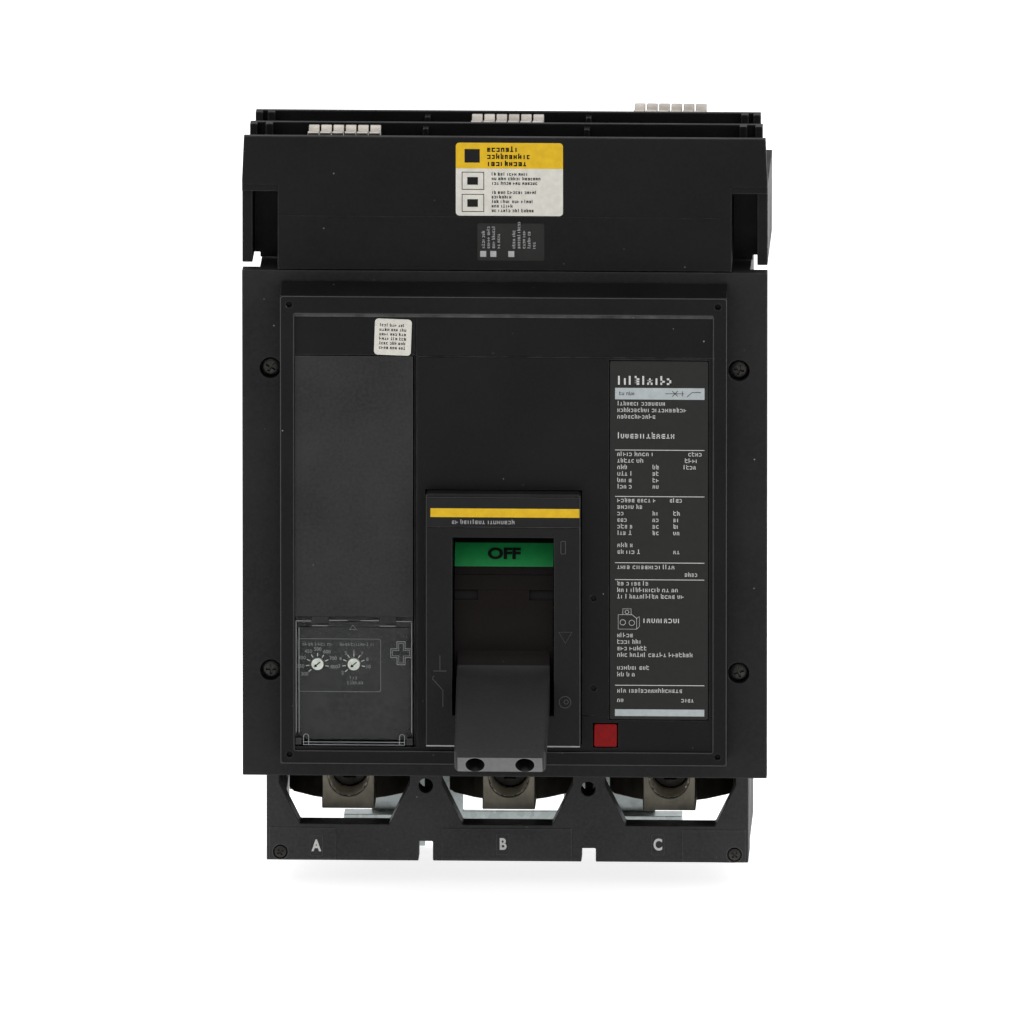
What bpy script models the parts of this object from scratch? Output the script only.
"""Three pole molded case breaker with a plug-on jaw line end.

X runs to the right seen from the front, the front faces -Y and Z points up.
Y = 0 is the rear mounting plane, Z = 0 the bottom edge of the main case.
Sizes below are millimetres; placed() turns them into Blender's metres.
"""

import math

import bmesh
import bpy
from mathutils import Matrix, Vector

MM = 0.001
GAP = 0.3  # clearance between two pieces that meet

# Driving dimensions
CASE_HALF = 114.0  # half the width of the main case's flange and of the head
BODY_HALF = 106.5  # half the width of the main case behind its flange
FLANGE_DEEP = 7.5
BASE_HALF = 105.0  # half the width of the rear base and of the lug shield
CASE_TOP = 224.4
FLANGE_Y = -125.0  # front of the main case
CASE_BACK_Y = -66.0  # where the front case meets the rear base
BASE_FRONT_Y = CASE_BACK_Y + GAP
BASE_BACK_Y = -2.9
WALL = 3.5
POLE_PITCH = 70.0
POLES = {"a": -POLE_PITCH, "b": 0.0, "c": POLE_PITCH}

# Head with the jaws: one slot per bus bar, one bus bar pitch apart in depth
HEAD_TOP = 284.5
FRONT_WALL_TOP, REAR_WALL_TOP = 283.5, 278.0  # the walls before and behind the three slots
HEAD_BOTTOM = CASE_TOP + 0.4
HEAD_SHOULDER = 262.0  # above it the head is as wide as the case
HEAD_BLOCK_HALF = 98.5
HEAD_DECK = 259.0
BUS_PITCH = 25.4
SLOT_FRONT_Y = FLANGE_Y + 4.0
SLOT_WIDTH = 22.6
HEAD_BACK_Y = SLOT_FRONT_Y + 2 * BUS_PITCH + SLOT_WIDTH + 3.5
HEAD_FOOT_BACK_Y = -20.0
HEAD_FLOOR = (243.0, 246.0)  # the shelf behind the slots that closes the head's underside
SLOT_SILL = 251.0  # tops of the low walls inside the head
RECESS_OUTER = (109.5, CASE_HALF)  # thin outer wall of the recess at each end
RECESS_GAP = 107.0  # the recess is open below outside this, down to RECESS_LIP
RECESS_LIP = HEAD_BOTTOM + 2.2
SLOT_WALL_HALF = [111.3, 109.8, 109.2]  # half widths of the faces behind the slots, front to back
END_RIBS = (104.5, 3.2, 4.0)  # outer edge, width and depth of the second rib at each end
JAW_Y = {pole: SLOT_FRONT_Y + 11.3 + i * BUS_PITCH for i, pole in enumerate(POLES)}
JAW_HALF = 16.0
JAW_FOOT = 238.0
JAW_TIP = 284.0
FINGERS = 6

# Raised accessory cover and what it carries
COVER_Y = -141.0
COVER_HALF = 97.0
COVER_LOW, COVER_HIGH = 8.7, 216.3
COVER_DRAFT = 3.6  # how much the top side leans out down to the flange
FIELD_HALF = 91.0
FIELD_LOW, FIELD_HIGH = 14.5, 208.5
FIELD_Y = COVER_Y + 1.0
COVER_BACK_Y = FLANGE_Y - GAP

TRIP_X = (-91.0, -39.0)
TRIP_LOW, TRIP_HIGH = 16.3, 189.9
TRIP_BACK_Y = -94.0
WINDOW_TOP = 73.0
WINDOW_LATCHES = (-85.8, -44.1)
WINDOW_AXIS = (-139.2, 71.4)  # hinge of the clear window, as Y and Z
DIALS = {"long_time_dial": -81.0, "instantaneous_dial": -65.2}
DIAL_Z = 52.0
DIAL_R = 2.7
DIAL_FACE_Y = FIELD_Y + 3.4
DIAL_TURN = 49.0  # degrees from straight down to the lowest setting, at the lower left

PLATE_X = (46.2, 88.8)
PLATE_Z = (29.2, 188.1)
BUTTON_X, BUTTON_Z, BUTTON_SIDE = 44.3, 22.0, 10.0

# Escutcheon round the handle
ESC_Y = -147.0
ESC_HALF = 33.7
ESC_LOW, ESC_HIGH = 18.0, 130.3
SIGHT_HALF = 22.0  # half the width of the handle opening
SIGHT_LOW, SIGHT_HIGH = 31.8, 110.8
SIGHT_FRAME = 2.5  # thickness of the escutcheon's walls

# Handle: a drum that turns about an axis along X, with a grip on it
PIVOT = (-88.0, 71.3)  # Y and Z
DRUM_R = 52.0
DRUM_HALF = 21.5
DRUM_FROM, DRUM_TO = -105.0, 45.0  # degrees above straight forward, at rest
GRIP_SLOPE = 29.5  # degrees below straight forward, at rest
GRIP_TIP_TOP = (-195.2, 25.9)
GRIP_TIP_LOW = (-188.5, 14.6)
GRIP_ROOT_TOP, GRIP_ROOT_LOW = (-133.0, 55.8), (-131.0, 39.5)
GRIP_HALF = (20.4, 19.8)  # half widths at the root and at the tip
GRIP_EDGE = 2.2
GRIP_HOLES = (10.8, 4.2, 14.0)  # place either side of the middle, radius and depth

TRIP_BAR = (-108.0, 9.5)  # Y and Z of its axis
CRADLE_AXIS = (-80.0, 130.0)
CRADLE_PIN_R = 3.0
PIN_R = 4.0  # the handle's pin
YOKE_REACH = 33.0
YOKE_LEGS = (22.0, 23.6)
SIDE_PLATES = (24.2, 26.2)
SPRING_ENDS = ((-68.0, 48.0), (-66.0, 78.0))  # Y and Z of the main springs' ends
SPRING_TURNS, SPRING_R, SPRING_WIRE_R = 6, 3.4, 0.8

# Contacts
CROSSBAR = (-46.0, 100.0)  # Y and Z of the axis
CROSSBAR_R = 9.0
JOURNAL_R = 4.1
ARM_LENGTH = 58.0
ARM_OPEN = 22.9  # degrees that the open arm leans forward
LINE_Y = (-32.0, -27.0)  # depth of the line conductor's long leg
BAR_HALF = 12.5  # half the width of the line and load bars

# Load end
SHIELD_Y = (-87.0, -74.0)
SHIELD_LOW = -46.0
LUG_LOW, LUG_HIGH = -27.0, 18.0
LUG_FRONT_Y = -68.0
LUG_SCREW_Z = -12.7
LUG_SCREW_R = 8.4
REAR_SCREW_Z = -10.0
REAR_SCREW_R = 5.6
LUG_BACK_Y = -8.0
WIRE_R = 9.0
REAR_WIRE = (16.3, -20.5)  # X from the pole's middle, and Y
MIDDLE_WIRE_Y = -34.5
BRACKET_LOW = -58.0
SHIELD_WINDOWS = (-71.0, 0.0, 71.0)  # X of the cable openings
SHIELD_HOLES = [(-35.6, -12.5), (35.2, -13.5)]
SHIELD_NOTCHES = [(-35.6, -37.3), (35.4, -40.0)]  # X and the top of each notch in the lower edge

# Fasteners, as X and Z
COVER_SCREWS = [(-101.6, 181.0), (101.6, 181.0), (-101.6, 46.8), (101.6, 46.8)]
SCREW_BOSS_HALF, SCREW_BORE_R = 6.5, 2.4
SHIELD_SCREWS = [(-99.0, SHIELD_LOW + 3.6), (99.0, SHIELD_LOW + 3.6)]
SEAL_HOLES = [(-93.0, 212.4), (93.0, 212.4), (-93.0, 12.8), (93.0, 12.8), (39.0, 82.8), (39.0, 42.9)]


def clear_scene():
    for thing in list(bpy.data.objects):
        bpy.data.objects.remove(thing, do_unlink=True)


# Materials


def linear(level):
    """An sRGB level from 0 to 255 as the linear share that a shader takes."""
    share = level / 255.0
    return share / 12.92 if share <= 0.04045 else ((share + 0.055) / 1.055) ** 2.4


def material(name, colour, roughness, metallic=0.0):
    made = bpy.data.materials.get(name)
    if made:
        return made
    made = bpy.data.materials.new(name)
    made.use_nodes = True
    shader = made.node_tree.nodes["Principled BSDF"]
    shader.inputs["Base Color"].default_value = (*[linear(c) for c in colour], 1.0)
    shader.inputs["Roughness"].default_value = roughness
    shader.inputs["Metallic"].default_value = metallic
    made.diffuse_color = shader.inputs["Base Color"].default_value
    return made


def black_case():
    return material("black_case", (38, 39, 40), 0.5)


def black_cover():
    return material("black_cover", (33, 33, 34), 0.5)


def grey_unit():
    return material("grey_unit", (52, 53, 55), 0.5)


def clear_window():
    return material("clear_window", (190, 196, 198), 0.1)


def label_film():
    return material("label_film", (45, 45, 43), 0.4)


def red_button():
    return material("red_button", (122, 24, 24), 0.4)


def black_handle():
    return material("black_handle", (43, 43, 44), 0.4)


def steel():
    return material("steel", (160, 163, 166), 0.35, 1.0)


def dark_steel():
    return material("dark_steel", (60, 60, 62), 0.45, 1.0)


def galvanised():
    return material("galvanised", (149, 159, 155), 0.4, 1.0)


def tin_plate():
    return material("tin_plate", (170, 165, 152), 0.35, 1.0)


def silver_plate():
    return material("silver_plate", (212, 209, 203), 0.3, 1.0)


def copper():
    return material("copper", (190, 120, 85), 0.35, 1.0)


def fibre():
    return material("fibre", (150, 110, 80), 0.8)


def resin():
    return material("resin", (95, 60, 40), 0.6)


def dial_plastic():
    return material("dial_plastic", (196, 200, 192), 0.45)


# Shapes: every helper takes millimetres and returns a plain mesh object


def placed(mesh_name, build):
    """A mesh object from the bmesh that build fills in, in millimetres."""
    mesh = bpy.data.meshes.new(mesh_name)
    work = bmesh.new()
    build(work)
    bmesh.ops.recalc_face_normals(work, faces=work.faces[:])
    bmesh.ops.scale(work, vec=(MM, MM, MM), verts=work.verts[:])
    work.to_mesh(mesh)
    work.free()
    thing = bpy.data.objects.new(mesh_name, mesh)
    bpy.context.scene.collection.objects.link(thing)
    return thing


def prism(outline, low, high, axis="X", name="shape"):
    """An outline pushed along an axis. It lists (y, z) for X, (x, z) for Y and (x, y) for Z."""
    place = {
        "X": lambda p, t: (t, p[0], p[1]),
        "Y": lambda p, t: (p[0], t, p[1]),
        "Z": lambda p, t: (p[0], p[1], t),
    }[axis]

    def build(work):
        first = [work.verts.new(place(p, low)) for p in outline]
        last = [work.verts.new(place(p, high)) for p in outline]
        work.faces.new(first)
        work.faces.new(list(reversed(last)))
        count = len(outline)
        for i in range(count):
            j = (i + 1) % count
            work.faces.new((first[i], first[j], last[j], last[i]))

    return placed(name, build)


def box(x, y, z, name="shape"):
    """A block from pairs of low and high on each axis."""
    outline = [(x[0], y[0]), (x[1], y[0]), (x[1], y[1]), (x[0], y[1])]
    return prism(outline, z[0], z[1], "Z", name)


def arc(centre, radius, start, stop, count):
    """Points on an arc, both ends included, angles in degrees."""
    turns = [math.radians(start + (stop - start) * i / (count - 1)) for i in range(count)]
    return [(centre[0] + radius * math.cos(t), centre[1] + radius * math.sin(t)) for t in turns]


def ring(radius, centre=(0.0, 0.0), sides=24):
    return [
        (
            centre[0] + radius * math.cos(2 * math.pi * i / sides),
            centre[1] + radius * math.sin(2 * math.pi * i / sides),
        )
        for i in range(sides)
    ]


def round_rect(x, z, radius, steps=4):
    """A rectangle's outline with round corners."""
    corners = [
        ((x[1] - radius, z[0] + radius), -90.0),
        ((x[1] - radius, z[1] - radius), 0.0),
        ((x[0] + radius, z[1] - radius), 90.0),
        ((x[0] + radius, z[0] + radius), 180.0),
    ]
    return [p for centre, start in corners for p in arc(centre, radius, start, start + 90.0, steps)]


def rod(centre, radius, low, high, axis="X", sides=24, name="shape"):
    return prism(ring(radius, centre, sides), low, high, axis, name)


def turned(radii, centre, axis="Y", sides=20, name="shape"):
    """A turned piece: (place along the axis, radius) from one end to the other."""
    place = {
        "X": lambda u, v, t: (t, centre[0] + u, centre[1] + v),
        "Y": lambda u, v, t: (centre[0] + u, t, centre[1] + v),
        "Z": lambda u, v, t: (centre[0] + u, centre[1] + v, t),
    }[axis]

    def build(work):
        loops = [
            [work.verts.new(place(u, v, along)) for u, v in ring(radius, sides=sides)]
            for along, radius in radii
        ]
        work.faces.new(loops[0])
        work.faces.new(list(reversed(loops[-1])))
        for a, b in zip(loops, loops[1:]):
            for i in range(sides):
                j = (i + 1) % sides
                work.faces.new((a[i], a[j], b[j], b[i]))

    return placed(name, build)


def both_sides(near, far):
    """The X spans from near to far on the left and on the right of the middle."""
    return [(-far, -near), (near, far)]


def polar(centre, radius, degrees):
    """A point at an angle above straight forward, as Y and Z."""
    turn = math.radians(degrees)
    return (centre[0] - radius * math.cos(turn), centre[1] + radius * math.sin(turn))


def group(name, members):
    holder = bpy.data.collections.new(name)
    bpy.context.scene.collection.children.link(holder)
    for member in members:
        bpy.context.scene.collection.objects.unlink(member)
        holder.objects.link(member)
        member.hide_render = True
        member.display_type = "WIRE"
    return holder


def boolean(body, operation, members, name):
    if not members:
        return
    step = body.modifiers.new(name, "BOOLEAN")
    step.operation = operation
    step.solver = "EXACT"
    if len(members) == 1:
        step.object = members[0]
        group(f"{body.name}_{name}", members)
    else:
        step.operand_type = "COLLECTION"
        step.collection = group(f"{body.name}_{name}", members)


def piece(name, body, look, adds=(), cuts=(), smooth=False):
    """Names a sub-part, joins the added shapes to it, cuts the others out and gives it its material."""
    body.name = name
    body.data.name = name
    boolean(body, "UNION", list(adds), "add")
    boolean(body, "DIFFERENCE", list(cuts), "cut")
    body.data.materials.append(look)
    if smooth:
        body.data.shade_smooth()
        body.data.set_sharp_from_angle(angle=math.radians(35))
    return body


def on_axis(body, centre):
    """Moves a moving piece's origin onto its joint's axis, given as Y and Z."""
    origin = Vector((0.0, centre[0] * MM, centre[1] * MM))
    body.data.transform(Matrix.Translation(-origin))
    body.location = origin
    return body


# Housing


def make_rear_base():
    inner = BASE_HALF - WALL
    deep = (BASE_FRONT_Y, BASE_BACK_Y)
    top = CASE_TOP - 0.4
    leg_low = SHIELD_LOW + 4
    walls = [
        box((-BASE_HALF, BASE_HALF), deep, (top - WALL, top)),
        box((-BASE_HALF, BASE_HALF), deep, (0, WALL)),
    ]
    for span in both_sides(inner, BASE_HALF):
        walls.append(box(span, deep, (0, top)))
    for span in both_sides(POLE_PITCH / 2 - 1.8, POLE_PITCH / 2 + 1.8):
        walls.append(box(span, deep, (leg_low, top - 2)))
    for span in both_sides(98.0, BASE_HALF):
        walls.append(box(span, (CASE_BACK_Y, BASE_BACK_Y), (leg_low, 1)))
        walls.append(box(span, (SHIELD_Y[1] + GAP, -58.0), (SHIELD_LOW, -2)))
    for span in both_sides(92.0, BASE_HALF):
        walls.append(box(span, (SHIELD_Y[1] + GAP, -58.0), (SHIELD_LOW, SHIELD_LOW + 10)))
    for _, z in COVER_SCREWS[::2]:
        for span in both_sides(96.5, 103.0):
            walls.append(box(span, (BASE_FRONT_Y, -40.0), (z - SCREW_BOSS_HALF, z + SCREW_BOSS_HALF)))
    cuts = [rod(point, SCREW_BORE_R, CASE_BACK_Y - 1, -45.0, "Y", 12) for point in COVER_SCREWS]
    cuts += [rod(point, 1.8, SHIELD_Y[0] - 1, -62.0, "Y", 12) for point in SHIELD_SCREWS]
    cuts.append(rod(CROSSBAR, CROSSBAR_R + 2, -60.0, 60.0, "X", 20))
    cuts.append(rod(CROSSBAR, JOURNAL_R + 0.4, -104.0, 104.0, "X", 16))
    for x in POLES.values():
        cuts.append(box((x - 14, x + 14), (LINE_Y[0] - 2, LINE_Y[1] + 2), (top - 5, top + 2)))
        cuts.append(box((x - 28, x + 28), (LUG_FRONT_Y - 1, LUG_BACK_Y + 0.8), (-1, WALL + 1)))
    back = box((-BASE_HALF, BASE_HALF), (BASE_BACK_Y - WALL, BASE_BACK_Y), (0, top))
    return piece("rear_base", back, black_case(), walls, cuts)


def make_front_case():
    flange = box((-CASE_HALF, CASE_HALF), (FLANGE_Y, FLANGE_Y + FLANGE_DEEP), (0, CASE_TOP))
    shell = box((-BODY_HALF, BODY_HALF), (FLANGE_Y + 2, CASE_BACK_Y), (0, CASE_TOP))
    # The hollow leaves a square post in each screw's corner, joined to the side wall
    post_x = 95.0
    deep = (FLANGE_Y + WALL, CASE_BACK_Y + 1)
    levels = sorted({z for _, z in COVER_SCREWS})
    spans = [
        (WALL, levels[0] - SCREW_BOSS_HALF),
        (levels[0] + SCREW_BOSS_HALF, levels[1] - SCREW_BOSS_HALF),
        (levels[1] + SCREW_BOSS_HALF, CASE_TOP - WALL),
    ]
    cuts = [box((-post_x, post_x), deep, (WALL, CASE_TOP - WALL))]
    cuts += [box(across, deep, span) for across in both_sides(post_x - 1, BODY_HALF - WALL) for span in spans]
    through = (FLANGE_Y - 1, FLANGE_Y + WALL + 1)
    cuts += [
        box((TRIP_X[0] - 0.4, TRIP_X[1] + 0.4), through, (TRIP_LOW - 0.4, TRIP_HIGH + 0.4)),
        box((-SIGHT_HALF - 1, SIGHT_HALF + 1), through, (SIGHT_LOW - 4.8, SIGHT_HIGH + 4.7)),
        box((BUTTON_X - 3.6, BUTTON_X + 3.6), through, (BUTTON_Z - 3.6, BUTTON_Z + 3.6)),
    ]
    cuts += [rod(point, 4.5, FLANGE_Y - 1, FLANGE_Y + 5, "Y", 16) for point in COVER_SCREWS]
    cuts += [rod(point, SCREW_BORE_R, FLANGE_Y + 4, CASE_BACK_Y + 1, "Y", 12) for point in COVER_SCREWS]
    for x in POLES.values():
        cuts.append(box((x - 12, x + 12), (LUG_FRONT_Y - 0.6, CASE_BACK_Y + 1), (-1, WALL + 1)))
    return piece("front_case", flange, black_case(), [shell], cuts)


def make_jaw_shroud():
    rear = HEAD_BACK_Y - WALL
    foot = HEAD_FOOT_BACK_Y - WALL
    across = (-HEAD_BLOCK_HALF, HEAD_BLOCK_HALF)
    walls = [
        box((-CASE_HALF, CASE_HALF), (FLANGE_Y, SLOT_FRONT_Y), (HEAD_SHOULDER, FRONT_WALL_TOP)),
        box(across, (rear, HEAD_FOOT_BACK_Y), HEAD_FLOOR),
        box(across, (foot, HEAD_FOOT_BACK_Y), (HEAD_BOTTOM, HEAD_FLOOR[1])),
        box(across, (rear, HEAD_BACK_Y), (HEAD_FLOOR[0], SLOT_SILL)),
    ]
    rib_edge, rib_width, rib_deep = END_RIBS
    for i, half in enumerate(SLOT_WALL_HALF):
        front = SLOT_FRONT_Y + i * BUS_PITCH + SLOT_WIDTH
        back = front + (BUS_PITCH - SLOT_WIDTH if i < 2 else WALL)
        top = HEAD_TOP if i < 2 else REAR_WALL_TOP
        walls.append(box((-half, half), (front, back), (SLOT_SILL - 1, top)))
        # ribs between the phases and posts at the ends stand on the face behind each slot
        for span in both_sides(POLE_PITCH / 2 - 1.2, POLE_PITCH / 2 + 1.2):
            walls.append(box(span, (front - 5, front + 1), (SLOT_SILL - 1, top - 1.5)))
        for edge in (half, rib_edge):
            for span in both_sides(edge - rib_width, edge):
                walls.append(box(span, (front - rib_deep, front + 1), (HEAD_DECK + 1, top)))
    deep = (FLANGE_Y, HEAD_BACK_Y)
    behind_lip = (FLANGE_Y + 1, HEAD_BACK_Y)
    for span in both_sides(HEAD_BLOCK_HALF - WALL, HEAD_BLOCK_HALF):
        walls.append(box(span, (FLANGE_Y, HEAD_FOOT_BACK_Y), (HEAD_BOTTOM, HEAD_FLOOR[1])))
        walls.append(box(span, deep, (HEAD_BOTTOM, HEAD_DECK + 1)))
    for span in both_sides(HEAD_BLOCK_HALF - WALL, CASE_HALF):
        walls.append(box(span, behind_lip, (HEAD_DECK, HEAD_SHOULDER + 0.5)))
    for span in both_sides(*RECESS_OUTER):
        walls.append(box(span, (FLANGE_Y + 4, HEAD_BACK_Y - 2), (RECESS_LIP, HEAD_SHOULDER)))
    for span in both_sides(HEAD_BLOCK_HALF - 0.5, RECESS_OUTER[0] + 0.5):
        walls.append(box(span, (-99, -95), (HEAD_BOTTOM, HEAD_DECK + 1)))
    for span in both_sides(POLE_PITCH / 2 - 1.2, POLE_PITCH / 2 + 1.2):
        walls.append(box(span, (FLANGE_Y + 1, HEAD_BACK_Y - 1), (HEAD_BOTTOM, SLOT_SILL)))
    front = box(across, (FLANGE_Y, SLOT_FRONT_Y), (HEAD_BOTTOM, HEAD_SHOULDER + 1))
    gaps = [box(span, deep, (HEAD_BOTTOM - 1, RECESS_LIP)) for span in both_sides(RECESS_GAP, CASE_HALF + 1)]
    return piece("jaw_shroud", front, black_case(), walls, gaps)


def make_accessory_cover():
    lean = COVER_HIGH + COVER_DRAFT
    outline = [
        (COVER_Y, COVER_LOW),
        (COVER_Y, COVER_HIGH),
        (COVER_BACK_Y, lean),
        (COVER_BACK_Y, COVER_LOW),
    ]
    shell = prism(outline, -COVER_HALF, COVER_HALF, "X")
    inside = [
        (FIELD_Y + 2.5, COVER_LOW + 3),
        (FIELD_Y + 2.5, COVER_HIGH - 3),
        (COVER_BACK_Y + 1, lean - 3),
        (COVER_BACK_Y + 1, COVER_LOW + 3),
    ]
    through = (COVER_Y - 1, FIELD_Y + 4)
    cuts = [
        prism(inside, -COVER_HALF + 3, COVER_HALF - 3, "X"),
        box((-FIELD_HALF, FIELD_HALF), (COVER_Y - 1, FIELD_Y), (FIELD_LOW, FIELD_HIGH)),
        box(TRIP_X, through, (TRIP_LOW, TRIP_HIGH)),
        box((-ESC_HALF - GAP, ESC_HALF + GAP), through, (ESC_LOW - GAP, ESC_HIGH + GAP)),
        box(
            (PLATE_X[0] - GAP, PLATE_X[1] + GAP),
            (COVER_Y - 1, FIELD_Y + 0.8),
            (PLATE_Z[0] - GAP, PLATE_Z[1] + GAP),
        ),
        box(
            (BUTTON_X - BUTTON_SIDE / 2 - 0.4, BUTTON_X + BUTTON_SIDE / 2 + 0.4),
            through,
            (BUTTON_Z - BUTTON_SIDE / 2 - 0.4, BUTTON_Z + BUTTON_SIDE / 2 + 0.4),
        ),
    ]
    cuts += [rod(point, 1.2, COVER_Y - 1, COVER_Y + 2.2, "Y", 12) for point in SEAL_HOLES]
    return piece("accessory_cover", shell, black_cover(), (), cuts)


def make_escutcheon():
    block = prism(round_rect((-ESC_HALF, ESC_HALF), (ESC_LOW, ESC_HIGH), 1.5), ESC_Y, COVER_BACK_Y, "Y")
    hollow = (ESC_Y + SIGHT_FRAME, COVER_BACK_Y + 1)
    low, high = ESC_LOW + SIGHT_FRAME, ESC_HIGH - SIGHT_FRAME
    cuts = [
        box((-SIGHT_HALF, SIGHT_HALF), (ESC_Y - 1, COVER_BACK_Y + 1), (SIGHT_LOW, SIGHT_HIGH)),
        box((-SIGHT_HALF, SIGHT_HALF), hollow, (SIGHT_HIGH + SIGHT_FRAME, high)),
        box((-SIGHT_HALF, SIGHT_HALF), hollow, (low, SIGHT_LOW - SIGHT_FRAME)),
    ]
    for span in both_sides(SIGHT_HALF + SIGHT_FRAME, ESC_HALF - SIGHT_FRAME):
        cuts.append(box(span, hollow, (low, high)))
    return piece("escutcheon", block, black_cover(), (), cuts)


# Trip unit


def make_trip_unit():
    wide = (TRIP_X[0] + GAP, TRIP_X[1] - GAP)
    low, high = TRIP_LOW + GAP, TRIP_HIGH - GAP
    body = box(wide, (FIELD_Y + 3.6, TRIP_BACK_Y), (low, high))
    upper = box(wide, (FIELD_Y, FIELD_Y + 4), (WINDOW_TOP + 1.0, high))
    cuts = [rod((x, DIAL_Z), DIAL_R + 0.3, FIELD_Y + 2, DIAL_FACE_Y + 5.4, "Y", 20) for x in DIALS.values()]
    return piece("trip_unit_body", body, grey_unit(), [upper], cuts)


def make_trip_window():
    x = (TRIP_X[0] + 0.6, TRIP_X[1] - 0.6)
    front, inside, back = COVER_Y + 0.3, FIELD_Y + 0.9, FIELD_Y + 3.2
    low = TRIP_LOW + 0.6
    lid = box(x, (front, back), (low, WINDOW_TOP - 0.4))
    cuts = [box((x[0] + 1.5, x[1] - 1.5), (inside, back + 1), (low + 1.5, WINDOW_TOP - 4))]
    # two slits beside each latch make it a spring tongue
    for latch in WINDOW_LATCHES:
        for slit in both_sides(2.4, 3.4):
            span = (latch + slit[0], latch + slit[1])
            cuts.append(box(span, (front - 1, back + 1), (low - 1, low + 7)))
    return on_axis(piece("trip_unit_window", lid, clear_window(), (), cuts), WINDOW_AXIS)


def make_dial(name, place):
    face, stem_r = DIAL_FACE_Y, 1.4
    step = face + 3.2
    steps = [(face, DIAL_R - 0.3), (face + 0.3, DIAL_R), (step, DIAL_R), (step, stem_r), (face + 5, stem_r)]
    knob = turned(steps, (0, 0), "Y", 18)
    slot = box((-0.45, 0.45), (face - 1, face + 0.7), (-2.2, 2.2))
    arrow = prism([(-1.3, -0.9), (1.3, -0.9), (0, -2.4)], face - 1, face + 0.7, "Y")
    dial = piece(name, knob, dial_plastic(), (), [slot, arrow], smooth=True)
    turn = math.radians(DIAL_TURN)
    for thing in (dial, slot, arrow):
        thing.data.transform(Matrix.Rotation(turn, 4, "Y"))
        thing.location = (place * MM, 0, DIAL_Z * MM)
    return dial


def make_rating_plate():
    outline = round_rect(PLATE_X, PLATE_Z, 0.8, 3)
    return piece("rating_plate", prism(outline, FIELD_Y - 0.2, FIELD_Y + 0.5, "Y"), label_film())


def make_trip_button():
    half = BUTTON_SIDE / 2
    cap = prism(
        round_rect((BUTTON_X - half, BUTTON_X + half), (BUTTON_Z - half, BUTTON_Z + half), 0.8, 3),
        COVER_Y + 0.1,
        COVER_Y + 6,
        "Y",
    )
    stem = box((BUTTON_X - 3, BUTTON_X + 3), (COVER_Y + 5, -110.0), (BUTTON_Z - 3, BUTTON_Z + 3))
    return piece("trip_button", cap, red_button(), [stem])


def make_trip_bar():
    bar = rod(TRIP_BAR, 3.0, -60.0, 52.0, "X", 12)
    tab = box((BUTTON_X - 3.5, BUTTON_X + 3.5), (-109.5, -106.5), (TRIP_BAR[1] - 2, BUTTON_Z + 4))
    latch = box((-4, 4), (TRIP_BAR[0] - 1.5, TRIP_BAR[0] + 10), (TRIP_BAR[1] - 2, TRIP_BAR[1] + 1))
    return on_axis(piece("trip_bar", bar, dark_steel(), [tab, latch]), TRIP_BAR)


def make_trip_actuator():
    can = box((-57.5, -42), (-90, -64.5), (8, 30))
    plunger = rod((-51, 12.5), 2.2, -104.4, -89, "Y", 12)
    return piece("trip_actuator", can, steel(), [plunger])


# Handle and mechanism


def sector(outer, inner, start, stop, count):
    """A ring sector about the pivot, angles above straight forward."""
    steps = [start + (stop - start) * i / (count - 1) for i in range(count)]
    return [polar(PIVOT, outer, a) for a in steps] + [polar(PIVOT, inner, a) for a in reversed(steps)]


def make_handle():
    drum = prism(sector(DRUM_R, DRUM_R - 3, DRUM_FROM, DRUM_TO, 27), -DRUM_HALF, DRUM_HALF, "X")
    adds = [rod(PIVOT, 11.0, -18.0, 18.0, "X", 20)]
    cheek = sector(DRUM_R - 1.5, 6.0, -72.0, 14.0, 12)
    adds += [prism(cheek, *span, "X") for span in both_sides(14.5, 18.0)]
    profile = [GRIP_ROOT_TOP, GRIP_TIP_TOP, GRIP_TIP_LOW, GRIP_ROOT_LOW]
    halves = [GRIP_HALF[0], GRIP_HALF[1], GRIP_HALF[1], GRIP_HALF[0]]

    def build(work):
        left, right = (
            [work.verts.new((side * half, *point)) for half, point in zip(halves, profile)]
            for side in (-1, 1)
        )
        work.faces.new(left)
        work.faces.new(list(reversed(right)))
        for i in range(4):
            j = (i + 1) % 4
            work.faces.new((left[i], left[j], right[j], right[i]))
        tip = [e for e in work.edges if all(v.co.y < GRIP_TIP_LOW[0] + 1 for v in e.verts)]
        across = [e for e in work.edges if e.verts[0].co.x * e.verts[1].co.x < 0]
        long_edges = [e for e in work.edges if e not in tip and e not in across]
        bmesh.ops.bevel(
            work, geom=tip + long_edges, offset=GRIP_EDGE, segments=3, affect="EDGES", profile=0.5
        )

    adds.append(placed("grip", build))
    cuts = [rod(PIVOT, PIN_R + GAP, -30.0, 30.0, "X", 16)]
    middle = [(a + b) / 2 for a, b in zip(GRIP_TIP_TOP, GRIP_TIP_LOW)]
    place, radius, depth = GRIP_HOLES
    for x in (-place, place):
        hole = rod((x, 0), radius, -3.0, depth, "Y", 16)
        hole.data.transform(Matrix.Rotation(math.radians(GRIP_SLOPE + 1.2), 4, "X"))
        hole.data.transform(Matrix.Translation((0, middle[0] * MM, middle[1] * MM)))
        cuts.append(hole)
    return on_axis(piece("handle", drum, black_handle(), adds, cuts, smooth=True), PIVOT)


def make_handle_pin():
    pin = turned([(-28, PIN_R - 0.6), (-27.4, PIN_R), (27.4, PIN_R), (28, PIN_R - 0.6)], PIVOT, "X", 20)
    return on_axis(piece("handle_pin", pin, steel(), smooth=True), PIVOT)


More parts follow.
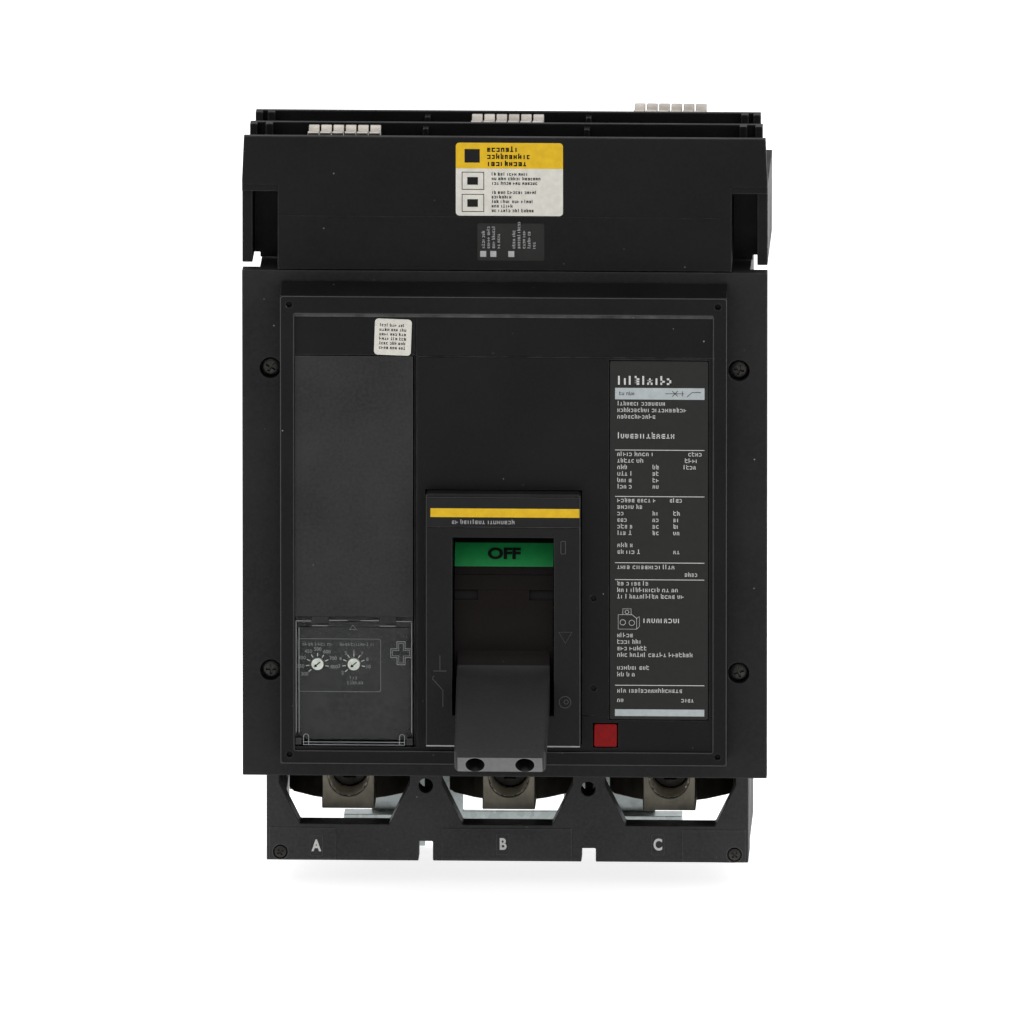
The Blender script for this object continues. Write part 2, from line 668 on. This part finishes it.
def make_handle_yoke():
    along = polar((0, 0), 1.0, 180.0 - GRIP_SLOPE)  # away from the grip
    across = (-along[1], along[0])

    def at(u, v):
        return (PIVOT[0] + u * along[0] + v * across[0], PIVOT[1] + u * along[1] + v * across[1])

    leg = [at(-7, -5), at(YOKE_REACH, -4), at(YOKE_REACH, 4), at(-7, 5)]
    bridge = [at(YOKE_REACH - 3, -4), at(YOKE_REACH, -4), at(YOKE_REACH, 4), at(YOKE_REACH - 3, 4)]
    tie = prism(bridge, -YOKE_LEGS[1] + 0.6, YOKE_LEGS[1] - 0.6, "X")
    legs = [prism(leg, *span, "X") for span in both_sides(*YOKE_LEGS)]
    bore = rod(PIVOT, PIN_R + GAP, -30.0, 30.0, "X", 20)
    return on_axis(piece("handle_yoke", tie, steel(), legs, [bore]), PIVOT)


def make_side_plate(name, span):
    low, high, front, rear = 32, 138, -116, -60
    outline = [
        (front, low + 12), (-100, low), (-70, low), (rear, low + 10),
        (rear, high - 14), (-72, high), (-104, high), (front, high - 12),
    ]  # fmt: skip
    cuts = [
        rod(PIVOT, PIN_R + GAP, -30.0, 30.0, "X", 20),
        rod(CRADLE_AXIS, CRADLE_PIN_R + GAP, -30.0, 30.0, "X", 16),
    ]
    return piece(name, prism(outline, *span, "X"), steel(), (), cuts)


def make_cradle():
    arm = prism([(-80, 127), (-68, 122), (-66.5, 108), (-70, 108), (-73, 119.5), (-78, 124)], -9, 9, "X")
    shaft = rod(CRADLE_AXIS, CRADLE_PIN_R, -26.0, 26.0, "X", 16)
    hub = rod(CRADLE_AXIS, 6.5, -10, 10, "X", 16)
    return on_axis(piece("cradle", arm, dark_steel(), [shaft, hub]), CRADLE_AXIS)


def make_main_spring(name, x):
    """A tension spring hung between the yoke and the pins below it, drawn at its rest length."""
    low, high = SPRING_ENDS
    curve = bpy.data.curves.new(name, "CURVE")
    curve.dimensions = "3D"
    curve.bevel_depth = SPRING_WIRE_R * MM
    curve.bevel_resolution = 0
    curve.use_fill_caps = True
    spline = curve.splines.new("POLY")
    count = SPRING_TURNS * 8
    spline.points.add(count)
    for i in range(count + 1):
        share = i / count
        turn = 2 * math.pi * SPRING_TURNS * share
        spline.points[i].co = (
            (x + SPRING_R * math.cos(turn)) * MM,
            (low[0] + (high[0] - low[0]) * share + SPRING_R * math.sin(turn)) * MM,
            (low[1] + (high[1] - low[1]) * share) * MM,
            1.0,
        )
    thing = bpy.data.objects.new(name, curve)
    bpy.context.scene.collection.objects.link(thing)
    curve.materials.append(steel())
    return thing


def make_crossbar():
    bar = prism(ring(CROSSBAR_R, CROSSBAR, 20), -99.5, 99.5, "X")
    journal = rod(CROSSBAR, JOURNAL_R, -103.4, 103.4, "X", 12)
    return on_axis(piece("crossbar", bar, resin(), [journal]), CROSSBAR)


# Current path


def make_jaw(pole, x):
    y = JAW_Y[pole]
    block = box((x - JAW_HALF, x + JAW_HALF), (y - 10.3, y + 10.3), (JAW_FOOT, 247.5))
    fingers = []
    pitch = 2 * JAW_HALF / FINGERS
    for i in range(FINGERS):
        left = x - JAW_HALF + i * pitch + 0.45
        for side in (-1, 1):
            outer = [(9.8, 246.5), (9.8, 262), (6.8, 274), (8.8, JAW_TIP)]
            inner = [(5.6, JAW_TIP), (3.3, 274), (4.2, 262), (6.0, 246.5)]
            outline = [(y + side * a, b) for a, b in outer + inner]
            fingers.append(prism(outline, left, left + pitch - 0.9, "X"))
    return piece(f"jaw_{pole}", block, silver_plate(), fingers)


def make_line_conductor(pole, x):
    top, thick = JAW_FOOT - 0.4, 5.0
    front = JAW_Y[pole] - 9
    outline = [
        (front, top), (LINE_Y[1], top), (LINE_Y[1], 150), (LINE_Y[0], 150), (LINE_Y[0], 152),
        (LINE_Y[0] - 3, 152), (LINE_Y[0] - 3, 166), (LINE_Y[0], 166), (LINE_Y[0], top - thick),
        (front, top - thick),
    ]  # fmt: skip
    return piece(f"line_conductor_{pole}", prism(outline, x - BAR_HALF, x + BAR_HALF, "X"), copper())


def make_arc_chute(pole, x):
    back, front, low, high = -37.0, -90.0, 171.0, 217.0
    count = 7
    plates = []
    for i in range(count):
        z = low + 3 + i * (high - low - 8) / (count - 1)
        # a notch in the rear edge lets the contact arm swing through
        half = [(23, front), (23, back), (8, back)]
        outline = [(x + a, b) for a, b in half] + [(x, back - 22)] + [(x - a, b) for a, b in reversed(half)]
        plates.append(prism(outline, z, z + 2, "Z"))
    right = box((x + 22, x + 24), (front, back), (low, high))
    left = box((x - 24, x - 22), (front, back), (low, high))
    return piece(f"arc_chute_{pole}", left, fibre(), plates + [right])


def make_contact_arm(pole, x):
    def at(u, v):
        """u along the arm from the crossbar, v towards the rear."""
        lean = math.radians(ARM_OPEN)
        return (
            CROSSBAR[0] - u * math.sin(lean) + v * math.cos(lean),
            CROSSBAR[1] + u * math.cos(lean) + v * math.sin(lean),
        )

    tip, width = ARM_LENGTH + 5, (x - 8, x + 8)
    arm = prism([at(0, -6), at(tip, -3), at(tip, 3), at(0, 6)], *width, "X")
    pad = prism([at(tip - 12, 2), at(tip - 12, 6), at(tip, 6), at(tip, 2)], *width, "X")
    hub = rod(CROSSBAR, 13.0, *width, "X", 20)
    bore = rod(CROSSBAR, CROSSBAR_R + 0.4, x - 20, x + 20, "X", 20)
    return on_axis(piece(f"contact_arm_{pole}", arm, copper(), [pad, hub], [bore]), CROSSBAR)


def make_load_conductor(pole, x):
    strap = box((x - BAR_HALF, x + BAR_HALF), (-34, -28), (LUG_HIGH + GAP, 84))
    foot = box((x - BAR_HALF, x + BAR_HALF), (-52, -28), (LUG_HIGH + GAP, LUG_HIGH + 5))
    return piece(f"load_conductor_{pole}", strap, copper(), [foot])


def make_current_transformer(pole, x):
    body = prism(round_rect((x - 25, x + 25), (-54, -9), 4), 32, 64, "Z")
    hole = box((x - 14, x + 14), (-38, -24), (30, 66))
    return piece(f"current_transformer_{pole}", body, resin(), (), [hole])


# Load end


def lug_outline(x):
    """Plan of a lug: a narrow tower in front, shoulders and a wide rear body."""
    half = [(10.5, LUG_FRONT_Y), (11.5, -66), (11.5, -47), (16, -44), (27, -32), (27, LUG_BACK_Y)]
    return [(x + a, b) for a, b in half] + [(x - a, b) for a, b in reversed(half)]


def make_lug(pole, x):
    body = prism(lug_outline(x), LUG_LOW, LUG_HIGH, "Z")
    cuts = [
        rod((x, MIDDLE_WIRE_Y), WIRE_R, LUG_LOW - 1, 8, "Z", 16),
        rod((x, LUG_SCREW_Z), LUG_SCREW_R, LUG_FRONT_Y - 1, MIDDLE_WIRE_Y, "Y", 20),
    ]
    for side in (-1, 1):
        wire_x = x + side * REAR_WIRE[0]
        cuts.append(rod((wire_x, REAR_WIRE[1]), WIRE_R, LUG_LOW - 1, 10, "Z", 16))
        cuts.append(rod((wire_x, REAR_SCREW_Z), REAR_SCREW_R, -46, REAR_WIRE[1], "Y", 14))
    return piece(f"lug_{pole}", body, tin_plate(), (), cuts)


def make_lug_screw(name, x, z, radius, front, back):
    ends = [(front, radius - 0.5), (front + 0.5, radius), (back - 0.8, radius), (back, radius - 1.2)]
    body = turned(ends, (x, z), "Y", 14)
    socket = prism(ring(radius * 0.62, (x, z), 6), front - 1, front + 4.5, "Y")
    return piece(name, body, dark_steel(), (), [socket])


def make_lug_screws(pole, x):
    make_lug_screw(f"lug_screw_{pole}_front", x, LUG_SCREW_Z, LUG_SCREW_R - 0.4, -51.0, -44.0)
    for side, word in ((-1, "left"), (1, "right")):
        screw_x = x + side * REAR_WIRE[0]
        make_lug_screw(f"lug_screw_{pole}_{word}", screw_x, REAR_SCREW_Z, REAR_SCREW_R - 0.4, -38.5, -30.5)


def make_lug_shield():
    plate = box((-BASE_HALF, BASE_HALF), SHIELD_Y, (SHIELD_LOW, -0.4))
    through = (SHIELD_Y[0] - 1, SHIELD_Y[1] + 1)
    cuts = []
    for x in SHIELD_WINDOWS:
        half = [(26.5, 0.6), (28.5, -4), (28.5, -11.6), (19.5, -29.8)]
        outline = [(x + a, b) for a, b in half] + [(x - a, b) for a, b in reversed(half)]
        cuts.append(prism(outline, *through, "Y"))
    cuts += [rod(point, 3.1, *through, "Y", 20) for point in SHIELD_HOLES]
    cuts += [box((x - 3.1, x + 3.1), through, (SHIELD_LOW - 1, top)) for x, top in SHIELD_NOTCHES]
    for point in SHIELD_SCREWS:
        cuts.append(rod(point, 1.8, *through, "Y", 16))
        cuts.append(rod(point, 3.1, SHIELD_Y[0] - 1, SHIELD_Y[0] + 1.6, "Y", 20))
    return piece("lug_shield", plate, black_case(), (), cuts)


def make_bracket():
    sheet = (BASE_BACK_Y + GAP, 0.0)
    through = (sheet[0] - 1, sheet[1] + 1)
    foot = box((-74, 74), sheet, (BRACKET_LOW, -42))
    adds = [box((-62, 62), sheet, (-6, 46))]
    adds += [box(span, sheet, (-43, -5)) for span in both_sides(22.0, 62.0)]
    adds += [box(span, (BASE_BACK_Y - 8, sheet[0] + 1), (-44.5, -42)) for span in both_sides(40.0, 74.0)]
    cuts = [box(span, through, (BRACKET_LOW - 1, BRACKET_LOW + 9)) for span in both_sides(32.3, 38.7)]
    cuts += [rod((x, 38.0), 3.4, *through, "Y", 20) for x in (-42.0, 42.0)]
    return piece("mounting_bracket", foot, galvanised(), adds, cuts)


def make_cross_screw(name, point, front, head_r, head_deep, shaft_r, back):
    x, z = point
    under = front + head_deep
    steps = [(front, head_r - 0.4), (front + 0.4, head_r), (under, head_r), (under, shaft_r), (back, shaft_r)]
    body = turned(steps, point, "Y", 12)
    blade, reach = head_r * 0.13, head_r * 0.62
    quarter = [(reach, -blade), (reach, blade), (blade, blade)]
    cross = [(x + a, z + b) for a, b in quarter]
    cross += [(x - b, z + a) for a, b in quarter]
    cross += [(x - a, z - b) for a, b in quarter]
    cross += [(x + b, z - a) for a, b in quarter]
    recess = prism(cross, front - 1, front + head_deep * 0.6, "Y")
    return piece(name, body, dark_steel(), (), [recess])


def main():
    clear_scene()
    make_rear_base()
    make_front_case()
    make_jaw_shroud()
    make_accessory_cover()
    make_escutcheon()
    make_trip_unit()
    make_trip_window()
    for name, x in DIALS.items():
        make_dial(name, x)
    make_rating_plate()
    make_trip_button()
    make_trip_bar()
    make_trip_actuator()
    make_handle()
    make_handle_pin()
    make_handle_yoke()
    for word, span in zip(("left", "right"), both_sides(*SIDE_PLATES)):
        make_side_plate(f"side_plate_{word}", span)
    make_cradle()
    make_main_spring("main_spring_left", -13.0)
    make_main_spring("main_spring_right", 13.0)
    make_crossbar()
    for pole, x in POLES.items():
        make_jaw(pole, x)
        make_line_conductor(pole, x)
        make_arc_chute(pole, x)
        make_contact_arm(pole, x)
        make_load_conductor(pole, x)
        make_current_transformer(pole, x)
        make_lug(pole, x)
        make_lug_screws(pole, x)
    make_lug_shield()
    make_bracket()
    for i, point in enumerate(COVER_SCREWS, 1):
        make_cross_screw(f"cover_screw_{i}", point, FLANGE_Y + 2.2, 3.9, 2.4, 2.0, -48.0)
    for word, point in zip(("left", "right"), SHIELD_SCREWS):
        make_cross_screw(f"shield_screw_{word}", point, SHIELD_Y[0] - 0.4, 2.7, 1.6, 1.45, -64.0)


main()
